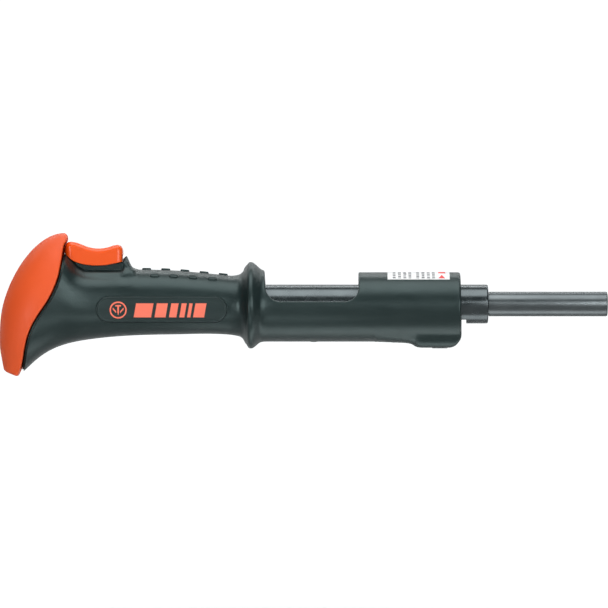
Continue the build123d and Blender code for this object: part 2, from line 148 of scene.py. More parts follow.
def smooth_curve(points, blur):
    """A monotone cubic through (x, value) corners, softened over about blur mm."""
    x, v = np.array(points, float).T
    h = np.diff(x)
    d = np.diff(v) / h
    m = np.zeros_like(v)
    same = d[:-1] * d[1:] > 0
    w0, w1 = 2 * h[1:] + h[:-1], h[1:] + 2 * h[:-1]
    safe = np.where(same, d[:-1] * d[1:], 1.0)
    weighted = w0 * d[1:] + w1 * d[:-1] + 1e-12 * np.sign(d[1:])
    m[1:-1] = np.where(same, (w0 + w1) * safe / weighted, 0.0)
    m[0], m[-1] = d[0], d[-1]
    q = np.arange(x[0], x[-1] + CURVE_STEP, CURVE_STEP)
    i = np.clip(np.searchsorted(x, q) - 1, 0, len(h) - 1)
    t = (q - x[i]) / h[i]
    val = (
        (2 * t**3 - 3 * t**2 + 1) * v[i]
        + (t**3 - 2 * t**2 + t) * h[i] * m[i]
        + (3 * t**2 - 2 * t**3) * v[i + 1]
        + (t**3 - t**2) * h[i] * m[i + 1]
    )
    n = int(3 * blur / CURVE_STEP)
    kernel = np.exp(-0.5 * (np.arange(-n, n + 1) * CURVE_STEP / blur) ** 2)
    # The ends carry on straight, so the blur doesn't pull them in.
    before = val[0] - np.arange(n, 0, -1) * (val[1] - val[0])
    after = val[-1] + np.arange(1, n + 1) * (val[-1] - val[-2])
    padded = np.concatenate([before, val, after])
    val = np.convolve(padded, kernel / kernel.sum(), mode="valid")
    slope = np.gradient(val, q)

    def curve(at):
        return np.interp(at, q, val).astype(F32)

    def curve_slope(at):
        return np.interp(at, q, slope).astype(F32)

    curve.slope = curve_slope
    return curve


grip_top = smooth_curve(
    [
        (-352.0, 34.0),
        (-340.0, 38.5),
        (-333.0, 37.6),
        (-328.5, 35.0),
        (-325.0, 31.2),
        (-322.7, 27.8),
        (-320.5, 24.6),
        (-316.6, 21.2),
        (-311.7, 19.4),
        (-302.0, 19.0),
        (-292.0, 19.8),
        (-286.0, 20.7),
        (-271.0, 20.6),
        (-258.6, 20.1),
        (-247.2, 19.1),
        (-236.4, 18.1),
        (-223.8, 16.9),
        (-206.0, 16.4),
    ],
    1.2,
)
grip_bottom = smooth_curve(
    [
        (-354.0, -43.6),
        (-349.0, -39.5),
        (-343.2, -33.8),
        (-334.2, -27.7),
        (-328.2, -25.1),
        (-317.4, -22.3),
        (-303.0, -20.3),
        (-288.6, -19.1),
        (-274.0, -18.5),
        (-256.0, -18.2),
        (-241.8, -17.9),
        (-231.0, -18.1),
        (-222.0, -18.8),
        (-206.0, -19.0),
    ],
    2.5,
)
grip_half = smooth_curve(
    [
        (-354.0, 25.4),
        (-346.0, 25.2),
        (-340.0, 24.9),
        (-333.0, 24.1),
        (-325.0, 22.7),
        (-315.0, 20.9),
        (-305.0, 19.6),
        (-290.0, 18.6),
        (-272.0, 18.3),
        (-256.0, 18.0),
        (-240.0, 17.5),
        (-224.0, 17.2),
        (-206.0, 17.2),
    ],
    4.0,
)
ring_radius = smooth_curve(
    [
        (-236.0, 12.0),
        (-229.0, 14.5),
        (-224.5, 17.0),
        (-220.6, 18.6),
        (-218.4, 20.4),
        (-216.8, 22.9),
        (-215.7, 25.1),
        (-214.6, 26.0),
        (-213.0, 25.9),
        (-211.4, 24.9),
        (-209.8, 23.5),
        (-207.6, 21.6),
        (-205.0, 20.5),
        (-200.0, 19.2),
        (-194.0, 17.0),
    ],
    0.45,
)
chin_bottom = smooth_curve(
    [
        (-140.0, -21.4),
        (-131.0, -22.3),
        (-119.6, -23.4),
        (-117.0, -24.3),
        (-114.2, -26.1),
        (-111.5, -26.6),
        (-95.0, -26.7),
        (-84.0, -26.7),
    ],
    0.8,
)
rim_x = smooth_curve(
    [
        (-46.0, -354.6),
        (-39.2, -351.5),
        (-33.7, -349.9),
        (-26.5, -348.6),
        (-19.3, -346.7),
        (-12.1, -343.6),
        (-4.9, -339.2),
        (2.3, -334.4),
        (9.5, -330.8),
        (16.7, -328.3),
        (24.6, -326.8),
        (31.1, -325.9),
        (35.6, -325.2),
        (38.0, -323.6),
        (40.4, -323.4),
        (44.0, -325.6),
    ],
    0.8,
)
trigger_top = smooth_curve(
    [
        (-327.0, 34.2),
        (-325.3, 35.9),
        (-323.6, 37.0),
        (-321.6, 37.35),
        (-318.8, 37.0),
        (-314.9, 35.6),
        (-311.7, 34.4),
        (-308.5, 33.6),
        (-305.2, 33.3),
        (-301.9, 33.5),
        (-298.7, 34.2),
        (-295.6, 35.2),
        (-293.4, 35.5),
        (-290.4, 34.9),
        (-288.0, 34.0),
    ],
    0.5,
)
trigger_bottom = smooth_curve(
    [
        (-327.0, 31.6),
        (-325.2, 30.3),
        (-323.4, 28.4),
        (-321.6, 26.8),
        (-318.8, 25.2),
        (-314.9, 24.0),
        (-311.0, 23.3),
        (-306.8, 23.0),
        (-301.9, 23.1),
        (-297.6, 23.8),
        (-294.6, 24.4),
        (-291.9, 25.0),
        (-287.0, 26.4),
    ],
    0.5,
)


# ---- distance fields (mm, negative inside) ----
def round_max(a, b, r):
    """Intersection of two solids with a true round of radius r on the edge."""
    u, v = np.maximum(a + r, 0), np.maximum(b + r, 0)
    return np.minimum(np.maximum(a, b) + r, 0) + np.sqrt(u * u + v * v) - r


def blend_min(a, b, k):
    """Union of two solids with a soft fillet about k wide."""
    h = np.maximum(k - np.abs(a - b), 0) / k
    return np.minimum(a, b) - h * h * k * 0.25


def x_cylinder(y, z, r, zc=0.0):
    return np.sqrt(y * y + (z - zc) ** 2) - r


def from_axis(x, z, cx, cz):
    """Distance from a line along Y through (cx, cz)."""
    return np.sqrt((x - cx) ** 2 + (z - cz) ** 2)


def slab(v, lo, hi):
    return np.maximum(lo - v, v - hi)


def box_field(x, y, z, xs, ys, zs):
    return np.maximum(np.maximum(slab(x, *xs), slab(y, *ys)), slab(z, *zs))


def polygon(x, z, corners):
    """Signed distance to a closed polygon in the XZ plane."""
    pts = np.array(corners, float)
    best = np.full(np.broadcast(x, z).shape, 1e9)
    inside = np.zeros(best.shape, bool)
    for (ax, az), (bx, bz) in zip(pts, np.roll(pts, -1, axis=0)):
        ex, ez = bx - ax, bz - az
        wx, wz = x - ax, z - az
        t = np.clip((wx * ex + wz * ez) / (ex * ex + ez * ez), 0, 1)
        best = np.minimum(best, (wx - t * ex) ** 2 + (wz - t * ez) ** 2)
        crosses = (az > z) != (bz > z)
        at = ax + (z - az) * ex / (ez if ez else 1e-9)
        inside ^= crosses & (x < at)
    return (np.sqrt(best) * np.where(inside, -1, 1)).astype(F32)


def grip_field(x, y, z):
    """Grip and flared pommel: an oval section that changes along X."""
    top, bottom, half = grip_top(x), grip_bottom(x), grip_half(x)
    h, c = (top - bottom) / 2, (top + bottom) / 2
    u, v = np.abs(y) / half, (z - c) / h
    # The upper half squares up into a platform under the trigger.
    along = np.clip((-280 - x) / 20, 0, 1)
    square = along * along * (3 - 2 * along) * np.clip(v * 2, 0, 1)
    power = 2.15 + 0.55 * square
    g = (u**power + np.abs(v) ** power + 1e-9) ** (1 / power)
    rise = np.where(v > 0, grip_top.slope(x), -grip_bottom.slope(x))
    lean = (rise * np.clip(v, -1, 1)) ** 2 + (grip_half.slope(x) * np.clip(u, 0, 1)) ** 2
    return (g - 1) * np.minimum(h, half) / np.sqrt(1 + lean)


# Outlines (x, z) of what stands under and in front of the trigger.
PLINTH = [
    (-322.7, 12.0),
    (-322.7, 29.0),
    (-321.5, 31.0),
    (-316.5, 31.0),
    (-313.2, 25.0),
    (-289.2, 25.0),
    (-286.0, 21.2),
    (-284.0, 12.0),
]
PLATFORM = [
    (-323.8, 12.0),
    (-323.8, 26.4),
    (-321.0, 25.4),
    (-317.5, 21.6),
    (-313.5, 19.6),
    (-286.0, 19.6),
    (-284.0, 12.0),
]
LIP = [
    (-290.15, 17.5),
    (-290.15, 26.8),
    (-288.4, 28.6),
    (-287.5, 26.4),
    (-286.4, 23.0),
    (-285.2, 21.2),
    (-283.6, 19.8),
    (-283.6, 17.5),
]


def grip_ribs():
    """(x, angle from the top) of the short ribs: a middle row and a staggered row on each side."""
    ribs = [(-230.4 - RIB_PITCH * i, 0.0) for i in range(5)]
    for side in (-1, 1):
        ribs += [(-236.8 - RIB_PITCH * i, side * RIB_ANGLE) for i in range(4)]
    return ribs


def ahead_of_rim(x, z):
    """Distance in front of the surface where the pad meets the housing."""
    return (x - rim_x(z)) / np.sqrt(1 + rim_x.slope(z) ** 2)


def housing_skin(x, y, z):
    """Outer surface of the joined housing, before any cut."""
    front = x - HOUSING_FRONT
    # The nose rounds back under the tube.
    nose = np.hypot(np.maximum(front + NOSE_ROUND, 0), np.maximum(-18.8 - z, 0)) - NOSE_ROUND
    tube = round_max(x_cylinder(y, z, TUBE_R, TUBE_Z), nose, EDGE_ROUND)
    tube = np.maximum(tube, -216 - x)
    floor = (chin_bottom(x) - z) / np.sqrt(1 + chin_bottom.slope(x) ** 2)
    chin = round_max(floor, np.abs(y) - CHIN_HALF, CHIN_ROUND)
    chin = round_max(chin, nose, EDGE_ROUND)
    chin = np.maximum(np.maximum(chin, z + 6), CHIN_REAR - x)
    body = blend_min(tube, chin, 2.2)
    grip = grip_field(x, y, z)
    body = blend_min(body, np.maximum(grip, x + 204), 2.0)
    ring = (x_cylinder(y, z, 0, RING_Z) - ring_radius(x)) / np.sqrt(1 + ring_radius.slope(x) ** 2)
    ring = np.maximum(ring, slab(x, -235, -195))
    body = blend_min(body, ring, 1.6)
    plinth = round_max(polygon(x, z, PLINTH), np.abs(y) - PLINTH_HALF, 1.0)
    platform = round_max(polygon(x, z, PLATFORM), np.abs(y) - PLATFORM_HALF, 3.0)
    body = blend_min(body, platform, 3.5)
    body = blend_min(body, plinth, 0.8)
    # The lip's sides lean in towards its top.
    lip_side = (np.abs(y) + LIP_LEAN * (z - 19) - LIP_HALF) / 1.14
    lip = round_max(polygon(x, z, LIP) - 0.25, lip_side, 2.0)
    body = blend_min(body, lip, 3.4)
    return body, grip


def add_ribs(body, grip, x, y, z):
    centre = (grip_top(x) + grip_bottom(x)) / 2
    angle = np.arctan2(y, z - centre)
    for rx, ra in grip_ribs():
        across = (angle - ra) * RIB_RADIUS
        plan = round_max(np.abs(x - rx) - RIB_HALF[0], np.abs(across) - RIB_HALF[1], 1.2)
        rib = round_max(plan, grip - RIB_HEIGHT, 0.4)
        body = blend_min(body, rib, 0.35)
    return body


def stadium(x, z):
    cx, cz = BADGE_CENTRE
    r = BADGE_HEIGHT / 2
    run = np.maximum(np.abs(x - cx) - (BADGE_LENGTH / 2 - r), 0)
    return np.sqrt(run * run + (z - cz) ** 2) - r


def add_screw_bosses(body, x, y, z):
    """Low round bosses that carry the screws' seats past the curved far side."""
    for px, pz, head_y in SHELL_SCREWS:
        side = np.hypot(x - px, z - pz) - BOSS_R
        boss = round_max(side, np.maximum(y - head_y - BOSS_RISE, 1.5 - y), 0.6)
        body = blend_min(body, boss, 1.4)
    return body


def inner_cuts(x, y, z, skin):
    """The housing's hollow, and the slots and holes that meet it."""
    posts = [from_axis(x, z, px, pz) - POST_R for px, pz, _ in POMMEL_SCREWS]
    hollow = np.maximum(skin + SHELL_WALL + 0.4, x + 319.2)
    key_x = (KEY_X - KEY_HALF, KEY_X + KEY_HALF)
    cuts = [
        np.maximum(hollow, -np.minimum(*posts)),
        # The slots of the trigger's web and leg, then room for its walls when it is pressed.
        box_field(x, y, z, (-323.1, -290.2), (-3.4, 3.4), (19.0, 33.0)),
        box_field(x, y, z, (-302.5, -290.6), (-2.8, 2.8), (10.0, 20.0)),
        box_field(x, y, z, (-313.0, -290.35), (-9.2, 9.2), (25.2, 33.0)),
        box_field(x, np.abs(y), z, (-313.0, -290.35), (8.9, 11.5), (20.2, 33.0)),
        # The slots of the sear bar and the stop key, the key's cap and the trigger's pin.
        box_field(x, y, z, (-300.0, -278.4), (-2.8, 5.3), (10.0, 17.2)),
        box_field(x, y, z, key_x, (-KEY_HALF, KEY_HALF), (-25.0, -12.0)),
        np.maximum(np.sqrt((x - KEY_X) ** 2 + y * y) - KEY_CAP_R, z + 24.5),
        from_axis(x, z, *TRIGGER_PIVOT) - TRIGGER_PIN_R,
    ]
    for px, pz, head_y in SHELL_SCREWS:
        r = from_axis(x, z, px, pz)
        cuts.append(np.maximum(r - HEAD_R, head_y - HEAD_DEPTH - y))
        cuts.append(np.maximum(r - SHANK_R, SHANK_SHORT - head_y - y))
    return cuts


def housing_field(x, y, z):
    skin, grip = housing_skin(x, y, z)
    from_rim = ahead_of_rim(x, z)
    # The edge next to the pad steps in by the width of a shadow line.
    ledge = round_max(skin, SHADOW_STEP - from_rim, 0.35)
    body = blend_min(ledge, skin + SHADOW_DEPTH, 0.4)
    body = add_ribs(body, grip, x, y, z)
    body = add_screw_bosses(body, x, y, z)
    pocket = np.maximum(stadium(x, z) - PLATE_GAP, -(skin + PLATE_DEPTH))
    pocket = np.maximum(pocket, BADGE_INNER_Y - np.abs(y))
    body = round_max(body, -pocket, 0.06)
    # The window's rear edge leans a little.
    window = slab(x, WINDOW_REAR - 0.06 * (z - 10), WINDOW_FRONT)
    window = round_max(window, WINDOW_FLOOR - z, WINDOW_CORNER)
    body = round_max(body, -window, 0.7)
    r = x_cylinder(y, z, 0)
    bore = np.maximum(r - GUIDE_R, GUIDE_REAR - x)
    bush = np.maximum(r - BUSH_R, slab(x, *BUSH_X))
    mouth = np.maximum(r - MOUTH_R, -90 - x)
    body = round_max(body, -np.minimum(np.minimum(bore, bush), mouth), 0.4)
    for cut in inner_cuts(x, y, z, skin):
        body = round_max(body, -cut, 0.25)
    return round_max(body, 0.5 - from_rim, 0.5)


def right_shell_field(x, y, z):
    return round_max(housing_field(x, y, z), y + SEAM_HALF, SEAM_ROUND)


def left_shell_field(x, y, z):
    return round_max(housing_field(x, y, z), SEAM_HALF - y, SEAM_ROUND)


def pad_field(x, y, z):
    """Palm pad: half an ellipsoid leaning back, closed by the rim surface."""
    sin, cos = math.sin(PAD_LEAN), math.cos(PAD_LEAN)
    dx, dz = x - PAD_TOP[0], z - PAD_TOP[1]
    # s runs down the pad from its top, v out of its back.
    s, v = -dx * sin - dz * cos, -dx * cos + dz * sin
    long, deep, wide = PAD_AXES
    t = (s - PAD_MIDDLE) / long
    # The lower end is fuller and blunter than the upper one.
    fuller = np.clip((t - 0.72) / 0.28, 0, 1)
    t = t * (1 - 0.075 * fuller * fuller)
    deep = deep * (1 - 0.035 * np.exp(-(((t - 0.55) / 0.25) ** 2)))
    g = np.sqrt(t * t + (v / deep) ** 2 + (y / wide) ** 2) + 1e-6
    spread = np.sqrt((t / long) ** 2 + (v / deep**2) ** 2 + (y / wide**2) ** 2) + 1e-6
    dome = (g - 1) * g / spread
    dome = round_max(dome, s - PAD_END, 1.5)
    seat = ahead_of_rim(x, z) + 0.3
    body = round_max(dome, seat, 0.8)
    hollow = np.maximum(dome + PAD_WALL, seat)
    for ps in PAD_SCREWS:
        r = np.sqrt((s - ps) ** 2 + y * y)
        hollow = np.maximum(hollow, 4.0 - r)
        body = np.maximum(body, -np.maximum(r - 1.6, v - 10.0))
    return round_max(body, -hollow, 0.4)


def trigger_field(x, y, z):
    """Saddle thumb trigger: rounded cap, hollow underneath, with its web and leg."""
    top = (z - trigger_top(x)) / np.sqrt(1 + trigger_top.slope(x) ** 2)
    bottom = (trigger_bottom(x) - z) / np.sqrt(1 + trigger_bottom.slope(x) ** 2)
    rear, front = TRIGGER_X
    plan = round_max(np.abs(y) - TRIGGER_HALF, x - front, 3.4)
    plan = round_max(plan, rear - x, 5.0)
    body = round_max(round_max(plan, top, 3.0), bottom, 0.45)
    hollow = round_max(round_max(plan + 1.75, top + 2.9, 1.0), -323.2 - x, 0.5)
    # The front wall is cut short so that it clears the plinth when pressed.
    notch = box_field(x, y, z, (-296.0, -289.0), (-9.1, 9.1), (20.0, 29.4))
    body = np.maximum(body, -np.minimum(hollow, notch))
    px, pz = TRIGGER_PIVOT
    hub = from_axis(x, z, px, pz)
    above_hub = box_field(x, 0 * y, z, (px - 3.2, px + 3.9), (-1, 1), (pz, 35.0))
    web = np.minimum(hub - 3.2, above_hub)
    web = np.maximum(np.maximum(web, np.abs(y) - 3.0), top + 1)
    body = np.minimum(body, np.maximum(web, 1.7 - hub))
    foot_x, foot_z = TRIGGER_FOOT
    foot = from_axis(x, z, foot_x, foot_z) - 2.5
    above_foot = box_field(x, 0 * y, z, (foot_x - 2.5, foot_x + 2.5), (-1, 1), (foot_z, 32.0))
    leg = np.minimum(foot, above_foot)
    return np.minimum(body, np.maximum(leg, slab(y, -2.4, 0.1)))


def badge_relief(d):
    """Height of the badge face over the housing: a raised rim round a sunk field."""
    rim = np.exp(-(((d + 0.5) / 0.58) ** 2))
    return -0.26 + 0.5 * rim


def badge_field(x, y, z):
    grip = grip_field(x, y, z)
    d = stadium(x, z)
    body = round_max(d - 0.12, grip - badge_relief(d), 0.3)
    return np.maximum(np.maximum(body, -(grip + 0.85)), BADGE_INNER_Y - np.abs(y))


# ---- meshes ----
def gradient(field, p, e=0.03):
    g = np.empty_like(p)
    for axis in range(3):
        a, b = p.copy(), p.copy()
        a[:, axis] += e
        b[:, axis] -= e
        g[:, axis] = (field(*a.T) - field(*b.T)) / (2 * e)
    return g


def settle(field, p, reach, rounds=3):
    """Move points along the field's gradient onto its surface."""
    for _ in range(rounds):
        g = gradient(field, p)
        step = g * (field(*p.T) / np.maximum((g * g).sum(1), 0.2))[:, None]
        size = np.linalg.norm(step, axis=1, keepdims=True)
        p = p - step * np.minimum(1, reach / np.maximum(size, 1e-9))
    return p


def mesh_object(name, points, faces):
    mesh = bpy.data.meshes.new(name)
    mesh.from_pydata(points, [], faces)
    mesh.update()
    obj = bpy.data.objects.new(name, mesh)
    bpy.context.scene.collection.objects.link(obj)
    return obj


def applied(obj):
    """Bake the object's modifiers into its mesh."""
    deps = bpy.context.evaluated_depsgraph_get()
    mesh = bpy.data.meshes.new_from_object(obj.evaluated_get(deps))
    obj.modifiers.clear()
    old = obj.data
    obj.data = mesh
    bpy.data.meshes.remove(old)
    return mesh


def clean_faces(obj, merge=None):
    """Turn every face outward, after joining points that lie closer than merge."""
    bm = bmesh.new()
    bm.from_mesh(obj.data)
    if merge:
        bmesh.ops.remove_doubles(bm, verts=bm.verts, dist=merge)
    bmesh.ops.recalc_face_normals(bm, faces=bm.faces)
    bm.to_mesh(obj.data)
    bm.free()


def shade_smooth(obj, sharp_degrees=None):
    obj.data.polygons.foreach_set("use_smooth", np.ones(len(obj.data.polygons), bool))
    if sharp_degrees:
        obj.data.set_sharp_from_angle(angle=math.radians(sharp_degrees))


def from_field(name, field, lo, hi, pitch, budget):
    """Mesh a field's surface, thin it to about budget triangles, and give it the field's own normals."""
    axes = [np.arange(a, b + pitch, pitch, dtype=F32) for a, b in zip(lo, hi)]
    values = field(axes[0][:, None, None], axes[1][None, :, None], axes[2][None, None, :])
    band = 4 * pitch
    values = np.clip(values, -band, band).astype(F32)
    grid = openvdb.FloatGrid(band)
    grid.copyFromArray(np.ascontiguousarray(values))
    points, quads = grid.convertToQuads(0.0)
    p = np.asarray(points, float) * pitch + np.array(lo)
    p = settle(field, p, 0.4 * pitch)
    obj = mesh_object(name, p.tolist(), quads.tolist())
    count = 2 * len(quads)
    if count > budget:
        thin = obj.modifiers.new("thin", "DECIMATE")
        thin.ratio = budget / count
    mesh = applied(obj)
    co = np.empty(len(mesh.vertices) * 3)
    mesh.vertices.foreach_get("co", co)
    p = settle(field, co.reshape(-1, 3), 0.2 * pitch, 2)
    g = gradient(field, p)
    g /= np.maximum(np.linalg.norm(g, axis=1, keepdims=True), 1e-9)
    mesh.vertices.foreach_set("co", (p * MM).ravel())
    mesh.update()
    shade_smooth(obj)
    mesh.normals_split_custom_set_from_vertices(g.tolist())
    return obj


def lathe(name, profile, segments, flat=None):
    """Turned piece about X from a closed (x, radius) profile; flat is (x0, x1, z) milled underneath."""
    points, faces = [], []
    for x, r in profile:
        for k in range(segments):
            a = 2 * math.pi * k / segments
            y, z = r * math.sin(a), r * math.cos(a)
            if flat and flat[0] <= x <= flat[1] and r > abs(flat[2]):
                z = max(z, flat[2])
            points.append((x * MM, y * MM, z * MM))
    n = len(profile)
    for i in range(n):
        for k in range(segments):
            j, m = (i + 1) % n, (k + 1) % segments
            faces.append((i * segments + k, i * segments + m, j * segments + m, j * segments + k))
    obj = mesh_object(name, points, faces)
    clean_faces(obj, 1e-7)
    shade_smooth(obj, 24)
    return obj


def sheet_faces(base, nu, nv):
    """Faces of a closed sheet: two layers of nu x nv points from index base, and its edge."""
    faces = []
    n = nu * nv
    for i in range(nu - 1):
        for j in range(nv - 1):
            q = [i * nv + j, (i + 1) * nv + j, (i + 1) * nv + j + 1, i * nv + j + 1]
            faces.append([base + k for k in q])
            faces.append([base + n + k for k in reversed(q)])
    edge = [i * nv for i in range(nu)]
    edge += [(nu - 1) * nv + j for j in range(1, nv)]
    edge += [i * nv + nv - 1 for i in range(nu - 2, -1, -1)]
    edge += [j for j in range(nv - 2, 0, -1)]
    for k, m in zip(edge, edge[1:] + edge[:1]):
        faces.append([base + k, base + n + k, base + n + m, base + m])
    return faces


def quarter_turn(steps):
    """(sine, cosine) at each step of a quarter turn after its start."""
    for i in range(1, steps + 1):
        a = math.pi / 2 * i / steps
        yield math.sin(a), math.cos(a)


# ---- materials ----
def new_material(name):
    mat = bpy.data.materials.new(name)
    mat.use_nodes = True
    nodes = mat.node_tree.nodes
    return mat, nodes, mat.node_tree.links, nodes["Principled BSDF"]


def position(nodes, links, scale=(1, 1, 1)):
    coords = nodes.new("ShaderNodeTexCoord")
    mapping = nodes.new("ShaderNodeMapping")
    mapping.inputs["Scale"].default_value = scale
    links.new(coords.outputs["Object"], mapping.inputs["Vector"])
    return mapping.outputs["Vector"]


def noise(nodes, links, vector, scale, detail, roughness=0.55):
    tex = nodes.new("ShaderNodeTexNoise")
    tex.inputs["Scale"].default_value = scale
    tex.inputs["Detail"].default_value = detail
    tex.inputs["Roughness"].default_value = roughness
    links.new(vector, tex.inputs["Vector"])
    return tex.outputs["Fac"]


def ramp(nodes, links, fac, stops):
    """Colour that runs between two (place, colour) stops."""
    node = nodes.new("ShaderNodeValToRGB")
    for element, (at, colour) in zip(node.color_ramp.elements, stops):
        element.position = at
        element.color = (*colour, 1)
    links.new(fac, node.inputs["Fac"])
    return node.outputs["Color"]


def spread(nodes, links, fac, low, high):
    """The middle of a noise's range stretched to run from low to high."""
    node = nodes.new("ShaderNodeMapRange")
    node.inputs["From Min"].default_value = 0.3
    node.inputs["From Max"].default_value = 0.7
    node.inputs["To Min"].default_value = low
    node.inputs["To Max"].default_value = high
    links.new(fac, node.inputs["Value"])
    return node.outputs["Result"]


def bump(nodes, links, height, strength, distance, normal=None):
    node = nodes.new("ShaderNodeBump")
    node.inputs["Strength"].default_value = strength
    node.inputs["Distance"].default_value = distance
    links.new(height, node.inputs["Height"])
    if normal is not None:
        links.new(normal, node.inputs["Normal"])
    return node.outputs["Normal"]


def moulded(name, dark, light, rough, grain, specular=0.5, coat=0.0, mottle=14.0, tint=(1, 1, 1)):
    """Moulded plastic or rubber: spark-eroded grain (scale, depth), slow colour drift, uneven gloss."""
    mat, nodes, links, shader = new_material(name)
    at = position(nodes, links)
    grain_scale, grain_depth = grain
    drift = noise(nodes, links, at, mottle, 3.0)
    pits = noise(nodes, links, at, grain_scale, 2.0, 0.6)
    scuff = noise(nodes, links, at, 90.0, 5.0, 0.65)
    links.new(ramp(nodes, links, drift, [(0.3, dark), (0.7, light)]), shader.inputs["Base Color"])
    links.new(spread(nodes, links, scuff, *rough), shader.inputs["Roughness"])
    shader.inputs["Specular IOR Level"].default_value = specular
    shader.inputs["Specular Tint"].default_value = (*tint, 1)
    shader.inputs["Coat Weight"].default_value = coat
    shader.inputs["Coat Roughness"].default_value = 0.35
    links.new(bump(nodes, links, pits, 1.0, grain_depth), shader.inputs["Normal"])
    return mat


def metal(name, dark, light, rough, grain, stretch=(1, 1, 1), speckle=0.0, metallic=1.0):
    """Machined steel: fine tool lines (scale, depth), slow tint changes, uneven polish."""
    mat, nodes, links, shader = new_material(name)
    shader.inputs["Metallic"].default_value = metallic
    line_scale, line_depth = grain
    drift = noise(nodes, links, position(nodes, links, (0.6, 1, 1)), 60.0, 4.0)
    lines = noise(nodes, links, position(nodes, links, stretch), line_scale, 3.0, 0.7)
    links.new(ramp(nodes, links, drift, [(0.3, dark), (0.72, light)]), shader.inputs["Base Color"])
    smudge = noise(nodes, links, position(nodes, links), 140.0, 5.0, 0.6)
    links.new(spread(nodes, links, smudge, *rough), shader.inputs["Roughness"])
    normal = bump(nodes, links, lines, 0.6, line_depth)
    if speckle:
        spots = noise(nodes, links, position(nodes, links), 2600.0, 2.0)
        normal = bump(nodes, links, spots, 0.8, speckle, normal)
    links.new(normal, shader.inputs["Normal"])
    return mat


COOL = (0.75, 0.98, 0.97)
INK_GRAIN = (1500.0, 3e-6)

# name: darker colour, lighter colour, roughness range, grain (scale, depth in metres)
PLASTICS = {
    "housing_plastic": ((0.005, 0.010, 0.010), (0.008, 0.014, 0.014), (0.30, 0.40), (1500.0, 6e-5)),
    "pad_rubber": ((0.69, 0.074, 0.009), (0.74, 0.088, 0.015), (0.46, 0.60), (3200.0, 2.5e-5)),
    "trigger_plastic": ((0.78, 0.078, 0.002), (0.80, 0.084, 0.003), (0.28, 0.32), (3800.0, 3e-6)),
    "badge_plastic": ((0.005, 0.009, 0.009), (0.007, 0.012, 0.012), (0.40, 0.5), (3600.0, 1.5e-5)),
    "label_vinyl": ((0.70, 0.70, 0.70), (0.76, 0.76, 0.75), (0.32, 0.42), (1500.0, 4e-6)),
    "label_grey": ((0.16, 0.16, 0.17), (0.24, 0.24, 0.25), (0.4, 0.5), INK_GRAIN),
    "label_red": ((0.66, 0.03, 0.03), (0.78, 0.05, 0.05), (0.4, 0.5), INK_GRAIN),
    "badge_ink": ((0.84, 0.15, 0.085), (0.90, 0.19, 0.115), (0.38, 0.48), (2600.0, 4e-6)),
    "buffer_rubber": ((0.012, 0.012, 0.012), (0.02, 0.02, 0.02), (0.6, 0.75), (1800.0, 3e-5)),
}
STEELS = {
    "barrel_steel": ((0.070, 0.081, 0.085), (0.094, 0.108, 0.112), (0.22, 0.30), (90.0, 4e-6)),
    "muzzle_steel": ((0.098, 0.111, 0.116), (0.124, 0.139, 0.144), (0.30, 0.38), (1400.0, 6e-6)),
    "tool_steel": ((0.30, 0.31, 0.32), (0.40, 0.41, 0.42), (0.26, 0.38), (60.0, 4e-6)),
    "dark_steel": ((0.030, 0.031, 0.034), (0.050, 0.051, 0.055), (0.30, 0.42), (700.0, 6e-6)),
    "spring_steel": ((0.42, 0.43, 0.45), (0.52, 0.53, 0.55), (0.24, 0.34), (300.0, 3e-6)),
}
EXTRAS = {
    "housing_plastic": {"tint": COOL},
    "pad_rubber": {"specular": 0.35},
    "trigger_plastic": {"specular": 0.4, "coat": 0.2},
    "badge_plastic": {"tint": COOL},
    "label_vinyl": {"coat": 0.2, "mottle": 40.0},
    "barrel_steel": {"stretch": (60, 1, 1)},
    "muzzle_steel": {"speckle": 5e-6},
    "tool_steel": {"stretch": (40, 1, 1)},
    "dark_steel": {"metallic": 0.8},
    "spring_steel": {"stretch": (1, 8, 8)},
}
MATERIALS = {name: moulded(name, *look, **EXTRAS.get(name, {})) for name, look in PLASTICS.items()}
MATERIALS.update({name: metal(name, *look, **EXTRAS.get(name, {})) for name, look in STEELS.items()})

slot_of = {part["node"]: part["material_slot"] for part in frame["record"]["subparts"]}
for node, obj in frame["nodes"].items():
    mat = MATERIALS[slot_of[node]]
    if len(obj.material_slots) == 0:
        obj.data.materials.append(mat)
    for material_slot in obj.material_slots:
        material_slot.material = mat


def add_piece(obj, body, node, slot=None, finish=None):
    """Put a piece on a body in a node's place, or as print with a finish of its own; the slot picks the
    material only when no finish is given.
    """
    slot = slot or slot_of[node]
    obj.data.materials.clear()
    obj.data.materials.append(MATERIALS[finish or slot])
    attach(obj, body)
    if node:
        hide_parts(node)


# ---- pieces ----
SHELL_X = (-356.0, -86.5)
SHELL_Z = (-45.0, 38.0)
SHELL_Y = (-27.0, 1.0)
TRIGGER_BOX = (-327.0, -12.5, 15.5), (-289.0, 12.5, 39.0)
PAD_BOX = (-366.0, -27.0, -45.0), (-320.0, 27.0, 45.0)

pitch = 0.42
budget = 185000
for name, field, node, ys in (
    ("right_housing_half", right_shell_field, "right_shell", SHELL_Y),
    ("left_housing_half", left_shell_field, "left_shell", (-SHELL_Y[1], -SHELL_Y[0])),
):
    lo, hi = zip(SHELL_X, ys, SHELL_Z)
    add_piece(from_field(name, field, lo, hi, pitch, budget), "housing", node)

pad = from_field("palm_pad_cover", pad_field, *PAD_BOX, 0.5, 120000)
add_piece(pad, "housing", "palm_pad")
cap = from_field("thumb_trigger", trigger_field, *TRIGGER_BOX, 0.25, 90000)
add_piece(cap, "trigger", "trigger")

